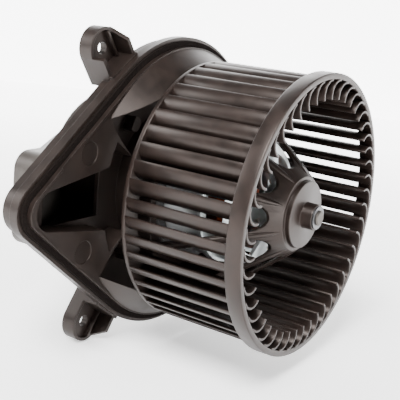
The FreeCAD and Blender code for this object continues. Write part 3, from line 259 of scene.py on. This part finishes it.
def finish_piece(bm, name, material, body, node=None, sharp=35):
    """Turns a finished bmesh into an object that rides on a body and may stand for a node."""
    piece = link_mesh(bm, name)
    piece.data.materials.append(material)
    piece.data.shade_smooth()
    piece.data.set_sharp_from_angle(angle=math.radians(sharp))
    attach(piece, body)
    if node:
        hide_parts(node)


def verts_in(geom):
    """The vertices among the geometry that an operator gives back."""
    return [g for g in geom if isinstance(g, bmesh.types.BMVert)]


def turned(angle):
    """A turn round the motor's axis."""
    return Matrix.Rotation(angle, 3, "Y")


def spun(profile, steps):
    """A closed profile of (radius, y) in millimetres, turned once round the axis."""
    bm = bmesh.new()
    dots = [bm.verts.new((r * MM, y * MM, 0)) for r, y in profile]
    lines = [bm.edges.new((a, b)) for a, b in zip(dots, dots[1:] + dots[:1])]
    bmesh.ops.spin(bm, geom=dots + lines, cent=ORIGIN, axis=AXIS, angle=math.tau, steps=steps,
                   use_merge=True)
    bmesh.ops.remove_doubles(bm, verts=bm.verts, dist=WELD)
    bmesh.ops.recalc_face_normals(bm, faces=bm.faces)
    return bm


def soften(bm, width_mm, angle=35, segments=2):
    """Rounds the edges that turn by more than the angle."""
    bm.normal_update()
    edges = [e for e in bm.edges if e.is_manifold and e.calc_face_angle(0) > math.radians(angle)]
    bmesh.ops.bevel(bm, geom=edges, offset=width_mm * MM, offset_type="OFFSET", affect="EDGES",
                    segments=segments, profile=0.5, material=-1, clamp_overlap=True)


def round_copies(bm, count):
    """The whole mesh repeated evenly round the axis."""
    geom = bm.verts[:] + bm.edges[:] + bm.faces[:]
    for k in range(1, count):
        new = bmesh.ops.duplicate(bm, geom=geom)["geom"]
        bmesh.ops.rotate(bm, verts=verts_in(new), cent=ORIGIN, matrix=turned(math.tau * k / count))


def without(bm, cutter):
    """The mesh with the cutter's volume taken away."""
    blank = link_mesh(bm, "blank")
    tool = link_mesh(cutter, "cutter")
    cut = blank.modifiers.new("cut", "BOOLEAN")
    cut.object = tool
    cut.solver = "EXACT"
    graph = bpy.context.evaluated_depsgraph_get()
    result = bmesh.new()
    result.from_object(blank, graph)
    for item in (blank, tool):
        mesh = item.data
        bpy.data.objects.remove(item)
        bpy.data.meshes.remove(mesh)
    return result


# The wheel in millimetres. Places along the axis, from the inlet to the motor:
BOSS_FRONT = -88.9
RING_FRONT = -88.3
DISC_FRONT = -82.4
RING_BACK = -79.7
CONE_FRONT = -79.6
DISC_BACK = -77.4
SLEEVE_BACK = -73.4
CONE_BACK = -30.3
PLATE_FRONT = -19.2
PLATE_BACK = -16.7

# Radii, from the shaft outwards. The skirt is the steeper stretch between cone and plate.
BORE = 4
BOSS = 6.9
SLEEVE = 9.5
DISC = 18.1
CONE_TOP = 20
CONE_TOP_INSIDE = 20.4
WINDOW_NEAR = 24.3
CONE_FOOT_INSIDE = 56.7
CONE_FOOT = 58
WINDOW_FAR = 59.6
SKIRT_FOOT_INSIDE = 60.3
SKIRT_FOOT = 61.9
RING_INSIDE = 71.7
PLATE = 72
RING = 75

# The arms between the cone's windows.
ARMS = 9
ARM_WIDTH = 4.8

# A blade is part of a small tube, seen along the axis: its bend is the tube's radius, and its
# root reaches into the back plate. Angles are in degrees.
BLADES = 47
BLADE_BEND = 7.3
BLADE_WALL = 1.3
BLADE_CENTRE = (64.0, RING_FRONT, -6.3)
BLADE_START = 110
BLADE_SWEEP = 118
BLADE_PHASE = 4.4
BLADE_ROOT = 0.2


def cone_y(r):
    """The front face of the cone, in millimetres along the axis, at a radius."""
    return CONE_FRONT + (r - CONE_TOP) * (CONE_BACK - CONE_FRONT) / (CONE_FOOT - CONE_TOP)


def wheel_ring():
    """The smooth front ring. It stands for the whole CAD wheel."""
    bm = spun([(RING_INSIDE, RING_FRONT), (RING, RING_FRONT), (RING, RING_BACK),
               (RING_INSIDE, RING_BACK)], steps=160)
    soften(bm, width_mm=0.6, segments=3)
    finish_piece(bm, "wheel_ring", wheel_plastic, "rotor", "impeller_wheel")


def wheel_blades():
    """The curved blades, from the ring's front face into the back plate."""
    bm = bmesh.new()
    centre = mm(*BLADE_CENTRE)
    start = math.radians(BLADE_START)
    out = Vector((math.cos(start), 0, math.sin(start)))
    half_wall = BLADE_WALL / 2
    faces_at = (BLADE_BEND - half_wall, BLADE_BEND + half_wall)
    ends = [bm.verts.new(centre + out * r * MM) for r in faces_at]
    edge = bm.edges.new(ends)
    bmesh.ops.spin(bm, geom=ends + [edge], cent=centre, axis=AXIS, angle=math.radians(BLADE_SWEEP),
                   steps=14)
    drawn = bmesh.ops.extrude_face_region(bm, geom=bm.faces[:])["geom"]
    length = PLATE_FRONT - RING_FRONT + BLADE_ROOT
    bmesh.ops.translate(bm, verts=verts_in(drawn), vec=(0, length * MM, 0))
    bmesh.ops.recalc_face_normals(bm, faces=bm.faces)
    soften(bm, width_mm=0.3, angle=50)
    bmesh.ops.rotate(bm, verts=bm.verts, cent=ORIGIN, matrix=turned(-math.radians(BLADE_PHASE)))
    round_copies(bm, BLADES)
    finish_piece(bm, "wheel_blades", wheel_plastic, "rotor")


def window_cutter():
    """What the cone's windows take away: each has a round end near the disc, sides that leave
    arms of one width, and an outer end that is an arc round the axis."""
    middle = -50
    reach = 36
    bm = bmesh.new()
    lean = math.radians(180 / ARMS)
    round_centre = (WINDOW_NEAR - ARM_WIDTH / 2) / (1 - math.sin(lean))
    cent = mm(round_centre, middle, 0)
    start = math.radians(90) + lean
    out = Vector((math.cos(start), 0, math.sin(start)))
    first = bm.verts.new(cent + out * (round_centre - WINDOW_NEAR) * MM)
    bmesh.ops.spin(bm, geom=[first], cent=cent, axis=AXIS, angle=2 * start - math.tau, steps=18)
    spread = lean - math.asin(ARM_WIDTH / 2 / WINDOW_FAR)
    out = Vector((math.cos(spread), 0, -math.sin(spread)))
    far = bm.verts.new(out * WINDOW_FAR * MM + mm(0, middle, 0))
    bmesh.ops.spin(bm, geom=[far], cent=ORIGIN, axis=AXIS, angle=-2 * spread, steps=12)
    tips = [v for v in bm.verts if len(v.link_edges) == 1]
    above_axis = [v for v in tips if v.co.z > 0]
    below_axis = [v for v in tips if v.co.z < 0]
    for pair in (above_axis, below_axis):
        bm.edges.new(pair)
    bmesh.ops.contextual_create(bm, geom=bm.edges[:])
    bmesh.ops.translate(bm, verts=bm.verts, vec=(0, -reach * MM, 0))
    top = bmesh.ops.extrude_face_region(bm, geom=bm.faces[:])["geom"]
    bmesh.ops.translate(bm, verts=verts_in(top), vec=(0, 2 * reach * MM, 0))
    bmesh.ops.recalc_face_normals(bm, faces=bm.faces)
    bmesh.ops.rotate(bm, verts=bm.verts, cent=ORIGIN, matrix=turned(lean))
    round_copies(bm, ARMS)
    return bm


def wheel_hub():
    """The boss and disc on the shaft, the cone with its windows, the skirt and the back plate."""
    bm = spun([(BORE, BOSS_FRONT), (BOSS, BOSS_FRONT), (BOSS, DISC_FRONT), (DISC, DISC_FRONT),
               (DISC, CONE_FRONT), (CONE_TOP, CONE_FRONT), (CONE_FOOT, CONE_BACK),
               (SKIRT_FOOT, PLATE_FRONT), (PLATE, PLATE_FRONT), (PLATE, PLATE_BACK),
               (SKIRT_FOOT_INSIDE, PLATE_BACK), (CONE_FOOT_INSIDE, CONE_BACK),
               (CONE_TOP_INSIDE, DISC_BACK), (SLEEVE, DISC_BACK), (SLEEVE, SLEEVE_BACK),
               (BORE, SLEEVE_BACK)], steps=180)
    soften(bm, width_mm=0.45, angle=40, segments=3)
    bm = without(bm, window_cutter())
    bmesh.ops.remove_doubles(bm, verts=bm.verts, dist=2 * WELD)
    soften(bm, width_mm=0.35, angle=50)
    finish_piece(bm, "wheel_hub", wheel_plastic, "rotor")


def wheel_ribs():
    """The rib along each arm: a half-round ridge whose inner end runs out to a point. Each
    station along it is a radius and the rib's size there, where 1 is its full size."""
    stations = [(20.4, 0.12), (22.5, 0.5), (25.5, 0.8), (30, 0.95), (36, 1.0), (57, 1.0), (59, 0.6)]
    half_width = 1.9
    height_ratio = 1.4
    sink = 0.5
    bm = bmesh.new()
    radius, size = stations[0]
    seat = mm(radius, cone_y(radius) + sink, 0)
    dot = bm.verts.new(seat + Vector((0, 0, half_width * size * MM)))
    bmesh.ops.spin(bm, geom=[dot], cent=seat, axis=(1, 0, 0), angle=math.pi, steps=10)
    bmesh.ops.scale(bm, vec=(1, height_ratio, 1), space=Matrix.Translation(-seat), verts=bm.verts)
    line = bm.edges[:]
    for (r_from, s_from), (r_to, s_to) in zip(stations, stations[1:]):
        step = bmesh.ops.extrude_edge_only(bm, edges=line)["geom"]
        line = [g for g in step if isinstance(g, bmesh.types.BMEdge)]
        shift = mm(r_to - r_from, cone_y(r_to) - cone_y(r_from), 0)
        bmesh.ops.translate(bm, verts=verts_in(step), vec=shift)
        seat = seat + shift
        grow = s_to / s_from
        bmesh.ops.scale(bm, vec=(1, grow, grow), space=Matrix.Translation(-seat), verts=verts_in(step))
    bmesh.ops.holes_fill(bm, edges=[e for e in bm.edges if e.is_boundary], sides=0)
    bmesh.ops.recalc_face_normals(bm, faces=bm.faces)
    round_copies(bm, ARMS)
    finish_piece(bm, "wheel_ribs", wheel_plastic, "rotor", sharp=60)


def lug_ribs():
    """In each lug's dish a low rib runs beside the hole from the flange to the round end."""
    length, depth, wall = (15.5, 3.4, 1.3)
    place = mm(91.3, 16.5, -5.6)
    turn_to_upper_lug = math.radians(-125.65)
    bm = bmesh.new()
    bmesh.ops.create_cube(bm, size=MM)
    bmesh.ops.scale(bm, vec=(length, depth, wall), verts=bm.verts)
    bmesh.ops.translate(bm, verts=bm.verts, vec=place)
    soften(bm, width_mm=0.25)
    bmesh.ops.rotate(bm, verts=bm.verts, cent=ORIGIN, matrix=turned(turn_to_upper_lug))
    lower = bmesh.ops.duplicate(bm, geom=bm.verts[:] + bm.edges[:] + bm.faces[:])["geom"]
    bmesh.ops.scale(bm, vec=(1, 1, -1), verts=verts_in(lower))
    bmesh.ops.recalc_face_normals(bm, faces=bm.faces)
    finish_piece(bm, "lug_ribs", housing_plastic, "housing")


wheel_ring()
wheel_blades()
wheel_hub()
wheel_ribs()
lug_ribs()

# The camera is fitted to the flange, ring and blades of the photograph. It looks at a point a
# little beside the origin, and leans to one side.
AZIMUTH = -57.402
ELEVATION = 13.700
ROLL = 5.706
DISTANCE = 0.482565
SHIFT_RIGHT = 0.012606
SHIFT_DOWN = 0.009528

az, el, roll = (math.radians(d) for d in (AZIMUTH, ELEVATION, ROLL))
back = Vector((math.sin(az) * math.cos(el), -math.cos(az) * math.cos(el), math.sin(el)))
level = Vector((math.cos(az), math.sin(az), 0))
above = back.cross(level)
right = level * math.cos(roll) + above * math.sin(roll)
up = above * math.cos(roll) - level * math.sin(roll)
camera = bpy.data.objects.new("camera", bpy.data.cameras.new("camera"))
camera.data.lens = 75.49
camera.data.sensor_width = 36
camera.data.clip_start = 0.01
viewpoint = back * DISTANCE + right * SHIFT_RIGHT - up * SHIFT_DOWN
camera.matrix_world = Matrix.Translation(viewpoint) @ Matrix((right, up, back)).transposed().to_4x4()
bpy.context.scene.collection.objects.link(camera)
bpy.context.scene.camera = camera


def studio_paper(name, near, far):
    """White matte paper, lit through from behind; it glows less close to the part, a painted shadow round
    it.
    """
    mat, tree, shader, coords = start_material(name)
    span = add(tree, "VectorMath", {0: coords}, operation="LENGTH")
    glow = add(tree, "MapRange", {"Value": span.outputs["Value"], "From Min": 0.15, "From Max": 0.8,
                                  "To Min": near, "To Max": far})
    tree.links.new(glow.outputs["Result"], shader.inputs["Emission Strength"])
    set_values(shader, {"Base Color": srgb("F4F4F4"), "Roughness": 0.9, "Emission Color": srgb("FFFFFF")})
    return mat


def paper_sheet(name, half_size, turn, move, near, far):
    """A flat sheet of studio paper, turned and moved to its place."""
    bm = bmesh.new()
    bmesh.ops.create_grid(bm, x_segments=1, y_segments=1, size=half_size)
    bmesh.ops.rotate(bm, verts=bm.verts, cent=ORIGIN, matrix=turn)
    bmesh.ops.translate(bm, verts=bm.verts, vec=move)
    sheet = link_mesh(bm, name)
    sheet.data.materials.append(studio_paper(name + " paper, matte", near, far))


# A plain pale floor just under the part, glowing less close to it as a painted shadow, and the same
# paper hung behind it, evenly bright and square to the camera.
FULL_GLOW = 4.2
FLOOR_GAP = 0.0005
floor_height = cad_box[0][2] - FLOOR_GAP
facing_camera = Vector((0, 0, 1)).rotation_difference(back).to_matrix()
# The floor's weaker glow near the part is a painted shadow, and it also sends less light up onto the part.
paper_sheet("floor", half_size=4, turn=Matrix.Identity(3), move=(0, 0, floor_height),
            near=0.7, far=FULL_GLOW)
paper_sheet("backdrop", half_size=1.6, turn=facing_camera, move=-back * 1.1,
            near=FULL_GLOW, far=FULL_GLOW)


def softbox(name, at, aim, size, power):
    """A square area light that looks at a point."""
    lamp = bpy.data.lights.new(name, "AREA")
    lamp.size = size
    lamp.energy = power
    obj = bpy.data.objects.new(name, lamp)
    obj.location = at
    obj.rotation_euler = (Vector(aim) - Vector(at)).to_track_quat("-Z", "Y").to_euler()
    bpy.context.scene.collection.objects.link(obj)


# Soft studio light: from above, from the right, into the inlet, and from behind.
softbox("key_softbox", at=(-0.75, -0.22, 1.0), aim=(0, -0.03, 0), size=0.5, power=52)
softbox("front_softbox", at=(0.6, -1.05, 0.25), aim=(0, -0.05, 0), size=0.4, power=10)
softbox("inlet_softbox", at=(-0.34, -0.85, 0.06), aim=(0, -0.06, 0), size=0.3, power=5)
softbox("rim_softbox", at=(-0.5, 1.0, 0.45), aim=(0, 0.04, 0), size=0.6, power=16)
world = bpy.data.worlds.new("studio")
bpy.context.scene.world = world
world.use_nodes = True
room_light = world.node_tree.nodes["Background"].inputs
room_light["Color"].default_value = srgb("FFFFFF")
room_light["Strength"].default_value = 0.2
